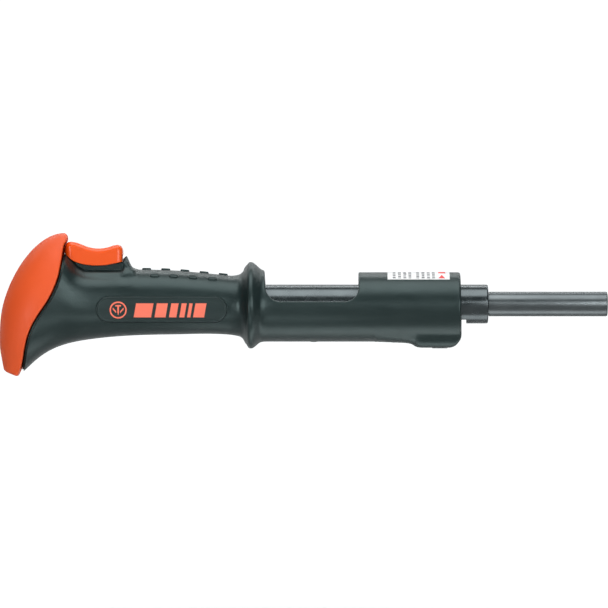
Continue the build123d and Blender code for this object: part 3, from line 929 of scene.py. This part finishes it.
badge_x, badge_z = (
    (centre - size / 2 - 1, centre + size / 2 + 1)
    for centre, size in zip(BADGE_CENTRE, (BADGE_LENGTH, BADGE_HEIGHT))
)
for side, node in ((-1, "name_badge_right"), (1, "name_badge_left")):
    lo, hi = zip(badge_x, sorted((side * 13.5, side * 20.5)), badge_z)
    plate = from_field(node + "_plate", badge_field, lo, hi, 0.25, 90000)
    add_piece(plate, "housing", node)


# ---- badge print: a ring with a nail in it, and slanted bars, as thin raised ink ----
INK_BASE = 0.3
INK_LIFTS = (-0.05, 0.1)
EMBLEM = (-292.8, -3.6)
EMBLEM_RING = (4.25, 5.1)
EMBLEM_TURNS = 48
# The nail in the ring, from its head down to its point: (x, z) corners from the emblem's centre.
EMBLEM_PARTS = [
    [(-1.7, 2.1), (1.7, 2.1), (1.7, 3.0), (-1.7, 3.0)],
    [(-0.5, -1.4), (0.5, -1.4), (0.5, 2.1), (-0.5, 2.1)],
    [(-0.08, -3.0), (0.08, -3.0), (0.5, -1.4), (-0.5, -1.4)],
]
# The wings beside it start at these corners and are mirrored.
EMBLEM_WING = [(1.2, -1.9), (3.2, 0.3), (3.2, 1.5), (1.2, -0.7)]
BARS_START = -283.6
BARS_Z = (-8.0, 0.4)
BARS_SLANT = 1.5
# Each bar's width and the gap after it.
BARS = [(10.4, 2.0), (6.6, 2.0), (4.4, 1.8), (3.0, 1.6), (2.0, 1.6), (6.6, 0.0)]


def on_badge(x, z, side, lift):
    """The y of points at (x, z) that stand lift over the badge's sunk field."""

    def height(y):
        return grip_field(x.astype(F32), y.astype(F32), z.astype(F32)) + INK_BASE - lift

    y = np.full(len(x), side * 18.0)
    e = 0.05
    for _ in range(12):
        f = height(y)
        y = y - f / ((height(y + e) - f) / e)
    return y


def ink_patch(corners, side, points, faces, cell=0.5):
    """Fill a four-cornered outline (x, z) with a fine sheet of ink that follows the badge."""
    a, b, c, d = np.array(corners, float)
    nu = max(2, int(np.linalg.norm(b - a) / cell) + 2)
    nv = max(2, int(np.linalg.norm(d - a) / cell) + 2)
    u, v = np.meshgrid(np.linspace(0, 1, nu), np.linspace(0, 1, nv), indexing="ij")
    u, v = u[..., None], v[..., None]
    flat = a * (1 - u) * (1 - v) + b * u * (1 - v) + c * u * v + d * (1 - u) * v
    x, z = flat.reshape(-1, 2).T
    faces.extend(sheet_faces(len(points), nu, nv))
    for lift in INK_LIFTS:
        points.extend(zip(x * MM, on_badge(x, z, side, lift) * MM, z * MM))


def badge_print(name, side):
    points, faces = [], []
    cx, cz = EMBLEM
    inner, outer = EMBLEM_RING
    for k in range(EMBLEM_TURNS):
        a, b = (2 * math.pi * turn / EMBLEM_TURNS for turn in (k, k + 1))
        corners = ((inner, a), (outer, a), (outer, b), (inner, b))
        ring = [(cx + r * math.cos(t), cz + r * math.sin(t)) for r, t in corners]
        ink_patch(ring, side, points, faces, 0.8)
    for corners in EMBLEM_PARTS:
        ink_patch([(cx + x, cz + z) for x, z in corners], side, points, faces)
    for wing in (-1, 1):
        ink_patch([(cx + wing * x, cz + z) for x, z in EMBLEM_WING], side, points, faces)
    x = BARS_START
    low, high = BARS_Z
    for width, gap in BARS:
        left, right = x + BARS_SLANT, x + width + BARS_SLANT
        ink_patch([(x, low), (x + width, low), (right, high), (left, high)], side, points, faces)
        x += width + gap
    obj = mesh_object(name, points, faces)
    clean_faces(obj)
    add_piece(obj, "housing", None, "badge_plastic", "badge_ink")


badge_print("badge_print_right", -1)
badge_print("badge_print_left", 1)


# ---- label wrapped over the front tube ----
LABEL_X = (-132.0, -94.9)
REACH = math.radians(38.5)
MARGIN = 0.05
SHEET_R = (TUBE_R + 0.01, TUBE_R + 0.16)
PRINT_R = (TUBE_R + 0.15, TUBE_R + 0.19)
PRINT_CELL = 0.6
LINE_X = (-128.9, -125.7, -122.5, -119.5, -114.8, -111.6, -108.4, -105.4)
LINE_WIDTH = 1.7
MARK_X = (-101.6, -97.6)
MARK_BAR_X = (-101.6, -97.4)


def wrapped(name, patches, radii, cell):
    """Closed patches (x0, x1, angle0, angle1, taper) lying between two radii on the front tube."""
    points, faces = [], []
    for x0, x1, a0, a1, taper in patches:
        nx = max(2, int(abs(x1 - x0) / cell) + 1)
        na = max(2, int(abs(a1 - a0) * TUBE_R / cell) + 1)
        mid = (x0 + x1) / 2
        faces.extend(sheet_faces(len(points), nx, na))
        for r in radii:
            for i in range(nx):
                for j in range(na):
                    t = j / (na - 1)
                    x = mid + (x0 + (x1 - x0) * i / (nx - 1) - mid) * (1 - taper * t)
                    a = a0 + (a1 - a0) * t
                    y, z = r * math.sin(a), TUBE_Z + r * math.cos(a)
                    points.append((x * MM, y * MM, z * MM))
    obj = mesh_object(name, points, faces)
    clean_faces(obj, 1e-8)
    shade_smooth(obj, 30)
    return obj


sheet = wrapped("info_label_sheet", [(*LABEL_X, -REACH, REACH, 0.0)], SHEET_R, 0.8)
add_piece(sheet, "housing", "info_label")

# Grey dashes of random length stand for the lines of small print.
rng = np.random.default_rng(7)
dashes = []
for x in LINE_X:
    a = -REACH + MARGIN
    while a < REACH - 0.12:
        run = float(rng.uniform(0.035, 0.11))
        dashes.append((x, x + LINE_WIDTH, a, min(a + run, REACH - MARGIN), 0.0))
        a += run + float(rng.uniform(0.022, 0.04))
small_print = wrapped("label_print", dashes, PRINT_R, PRINT_CELL)
add_piece(small_print, "housing", None, "label_vinyl", "label_grey")

marks = []
for sign in (-1, 1):
    edge = sign * (REACH - MARGIN)
    marks.append((*MARK_X, edge, edge - sign * 0.19, 0.97))
marks.append((*MARK_BAR_X, -0.3, 0.3, 0.0))
red_marks = wrapped("label_mark", marks, PRINT_R, PRINT_CELL)
add_piece(red_marks, "housing", None, "label_vinyl", "label_red")


# ---- turned steel that shows ----
CORNER_STEPS = 5
FLAT = (-153.7, -84.6, -9.4)
MUZZLE_R = 7.4
BORE_R = 4.05
CHAMBER_R = 3.6
PISTON_R = 8.0
NECK_R = 2.95
SOCKET_X = -73.6


def arc_corner(x0, r0, x1, r1):
    """Points of a small round between a side (x0, r1) and an end face (x1, r0), without the first."""
    out = []
    for i in range(1, CORNER_STEPS + 1):
        a = math.pi / 2 * i / CORNER_STEPS
        out.append((x0 + (x1 - x0) * math.sin(a), r0 + (r1 - r0) * math.cos(a)))
    return out


rear, front = (corner[0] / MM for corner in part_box("barrel"))
profile = [(rear, CHAMBER_R), (rear, SLIDE_R - 0.4), (rear + 0.4, SLIDE_R)]
# The doubled rings at both ends of the flat keep its ends square.
profile += [(FLAT[0] - 0.001, SLIDE_R), (FLAT[0], SLIDE_R)]
profile += [(x, SLIDE_R) for x in np.linspace(FLAT[0], FLAT[1], 12)[1:]]
profile += [(FLAT[1] + 0.001, SLIDE_R), (front - 1.1, SLIDE_R)]
profile += arc_corner(front - 1.0, SLIDE_R - 1.0, front, SLIDE_R)
profile += [(front, PISTON_R + 0.3), (front - 0.3, PISTON_R)]
profile += [(-72.1, PISTON_R), (-72.1, 8.7), (-73.5, 8.7), (-73.5, PISTON_R)]
profile += [(-190.0, PISTON_R), (-190.0, NECK_R), (-204.9, NECK_R), (-204.9, CHAMBER_R)]
add_piece(lathe("barrel_turned", profile, 192, FLAT), "barrel", "barrel")

rear, front = (corner[0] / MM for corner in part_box("muzzle_guide"))
profile = [(rear, BORE_R + 0.25), (rear, 7.95), (SOCKET_X, 7.95), (SOCKET_X, 7.0), (-71.0, 7.0)]
profile += [(-71.0, MUZZLE_R), (-60.0, MUZZLE_R), (front - 0.8, MUZZLE_R)]
profile += arc_corner(front - 0.8, MUZZLE_R - 0.8, front, MUZZLE_R)
profile += [(front, BORE_R + 0.3), (front - 0.3, BORE_R), (-76.0, BORE_R), (-76.0, BORE_R + 0.25)]
add_piece(lathe("muzzle_tube", profile, 160), "barrel", "muzzle_guide")


# ---- stage, light and camera ----
FLOOR_Z = -0.19
CARD_Z = FLOOR_Z - 0.002
CARD_HALF = 5.0
WALL_Y = 1.5
BEND = 0.8
BEND_STEPS = 16
BOWL_FLAT_R = 3.4
BOWL_BEND = 1.2
BOWL_TOP = 5.0
BOWL_STEPS = 96
GLOW_REACH = (0.12, 0.62)


def paper_material(name, low, high):
    mat, nodes, links, shader = new_material(name)
    tone = noise(nodes, links, position(nodes, links), 3.0, 3.0)
    links.new(ramp(nodes, links, tone, [(0.3, (low,) * 3), (0.7, (high,) * 3)]), shader.inputs["Base Color"])
    shader.inputs["Roughness"].default_value = 0.9
    shader.inputs["Specular IOR Level"].default_value = 0.1
    return mat, nodes, links, shader


def bounce_card():
    """Paper under and behind the tool: it returns light to the tool and the camera sees past it."""
    section = [(-4.0, CARD_Z), (WALL_Y - BEND, CARD_Z)]
    for sin, cos in quarter_turn(BEND_STEPS):
        section.append((WALL_Y - BEND + BEND * sin, FLOOR_Z + BEND - BEND * cos))
    section.append((WALL_Y, 4.0))
    points = [(x, y, z) for x in (-CARD_HALF, CARD_HALF) for y, z in section]
    n = len(section)
    faces = [(i, i + 1, n + i + 1, n + i) for i in range(n - 1)]
    card = mesh_object("bounce_card", points, faces)
    card.data.materials.append(paper_material("grey_paper", 0.42, 0.46)[0])
    card.visible_camera = False


def studio_bowl(centre):
    """Pale floor that curves up into a white wall all round, outside every camera position."""
    section = [(r, FLOOR_Z) for r in (0.3, 0.6, 1.2, BOWL_FLAT_R)]
    for sin, cos in quarter_turn(BEND_STEPS):
        section.append((BOWL_FLAT_R + BOWL_BEND * sin, FLOOR_Z + BOWL_BEND * (1 - cos)))
    section.append((BOWL_FLAT_R + BOWL_BEND, BOWL_TOP))
    steps = BOWL_STEPS
    points = [(centre.x, centre.y, FLOOR_Z)]
    for r, z in section:
        for k in range(steps):
            a = 2 * math.pi * k / steps
            points.append((centre.x + r * math.cos(a), centre.y + r * math.sin(a), z))
    faces = [(0, 1 + k, 1 + (k + 1) % steps) for k in range(steps)]
    for i in range(len(section) - 1):
        for k in range(steps):
            a, b = 1 + i * steps + k, 1 + i * steps + (k + 1) % steps
            faces.append((a, a + steps, b + steps, b))
    bowl = mesh_object("studio_bowl", points, faces)
    shade_smooth(bowl)
    mat, nodes, links, shader = paper_material("studio_paper", 0.86, 0.89)
    # The paper glows white away from the tool, so only the soft shade under it is left.
    reach = nodes.new("ShaderNodeVectorMath")
    reach.operation = "DISTANCE"
    links.new(position(nodes, links), reach.inputs[0])
    reach.inputs[1].default_value = (centre.x, centre.y, FLOOR_Z)
    glow = nodes.new("ShaderNodeMapRange")
    glow.interpolation_type = "SMOOTHSTEP"
    glow.inputs["From Min"].default_value, glow.inputs["From Max"].default_value = GLOW_REACH
    links.new(reach.outputs["Value"], glow.inputs["Value"])
    shader.inputs["Emission Color"].default_value = (1, 1, 1, 1)
    links.new(glow.outputs["Result"], shader.inputs["Emission Strength"])
    bowl.data.materials.append(mat)
    # Only the camera sees the bowl; the bounce card lights the tool.
    bowl.visible_diffuse = bowl.visible_glossy = False
    bowl.visible_transmission = bowl.visible_shadow = False


low, high = Vector(cad_bounds[0]), Vector(cad_bounds[1])
middle = (low + high) / 2
bounce_card()
studio_bowl(middle)


def area_light(name, place, aim, size, power):
    data = bpy.data.lights.new(name, "AREA")
    data.shape = "RECTANGLE"
    data.size, data.size_y = size
    data.energy = power
    obj = bpy.data.objects.new(name, data)
    obj.location = place
    obj.rotation_euler = (Vector(aim) - Vector(place)).to_track_quat("-Z", "Y").to_euler()
    obj.visible_camera = False
    bpy.context.scene.collection.objects.link(obj)


LOW_Z = FLOOR_Z + 0.004
area_light("overhead_box", (middle.x, -0.33, 0.94), middle, (1.1, 0.85), 9.4)
area_light("low_strip", (-0.09, -0.02, LOW_Z), (-0.09, 0, 0.2), (0.3, 0.10), 0.19)
area_light("front_strip", (middle.x, -1.5, 0.30), middle, (1.4, 0.03), 1.5)
area_light("side_box", (0.75, -1.0, 0.10), middle, (0.5, 0.4), 3.0)
area_light("kicker", (0.61, -1.98, 0.11), (-0.32, 0, 0.0), (0.17, 1.2), 13.5)
area_light("pad_fill", (-0.88, -0.75, -0.05), (-0.34, 0, -0.03), (0.3, 0.26), 2.8)
area_light("pommel_low", (-0.24, -0.22, LOW_Z), (-0.33, 0, -0.02), (0.14, 0.10), 0.12)
area_light("wall_wash", (middle.x, 0.9, 1.3), (middle.x, WALL_Y + 0.4, 0.0), (3.0, 0.6), 40)

world = bpy.data.worlds.new("studio_air")
world.use_nodes = True
background = world.node_tree.nodes["Background"]
background.inputs["Color"].default_value = (0.72, 0.95, 1.0, 1)
background.inputs["Strength"].default_value = 0.17
bpy.context.scene.world = world

bpy.context.scene.view_settings.view_transform = "Standard"

# The camera looks along +Y; the frame's width at the tool is FRAME_WIDTH.
DISTANCE = 3.0
FRAME_WIDTH = 0.3648
camera_data = bpy.data.cameras.new("camera")
camera = bpy.data.objects.new("camera", camera_data)
camera_data.sensor_width = 36.0
camera_data.lens = camera_data.sensor_width * DISTANCE / FRAME_WIDTH
camera_data.clip_end = 50.0
camera.location = (low.x + FRAME_WIDTH / 2, -DISTANCE, 0.0)
camera.rotation_euler = (math.pi / 2, 0, 0)
bpy.context.scene.collection.objects.link(camera)
bpy.context.scene.camera = camera
